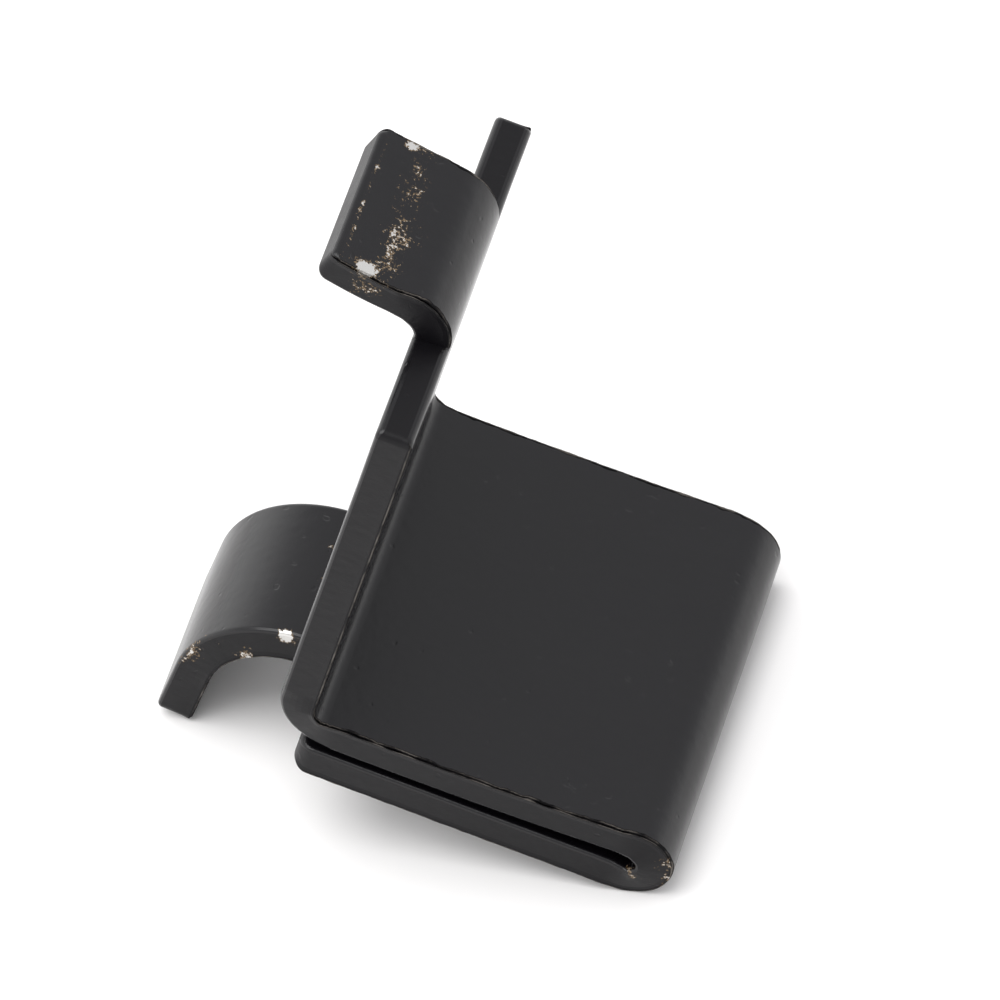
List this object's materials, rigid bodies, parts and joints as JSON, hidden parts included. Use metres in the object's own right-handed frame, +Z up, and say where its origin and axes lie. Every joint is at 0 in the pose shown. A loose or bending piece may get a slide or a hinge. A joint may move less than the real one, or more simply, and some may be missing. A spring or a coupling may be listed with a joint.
{
  "type": "shelf support clip",
  "caption": "Folded steel shelf support clip: a square back plate, a hemmed square tab, a curved hook and a short latch tongue that grip a slotted upright.",
  "frame": {"origin": "centre of the back plate's flat bearing face, which lies against the front of the upright", "axes": "+X out of the upright along the tab, +Y across the strip, +Z up the back plate towards the latch tongue; in use the clip hangs the other way up, with the hook on top and -Z upwards"},
  "size_m": [0.0242, 0.0194, 0.0344],
  "materials": {
    "satin_black_paint": "satin black paint on sheared and folded steel strip, chipped along edges"
  },
  "bodies": {
    "root": {"latch_tongue": "satin_black_paint", "latch_bend": "satin_black_paint", "back_plate": "satin_black_paint", "corner_bend": "satin_black_paint", "shelf_tab": "satin_black_paint", "hem_fold": "satin_black_paint", "hem_ease": "satin_black_paint", "return_leg": "satin_black_paint", "hook_root": "satin_black_paint", "hook_arc": "satin_black_paint", "hook_tip": "satin_black_paint"}
  },
  "joints": []
}
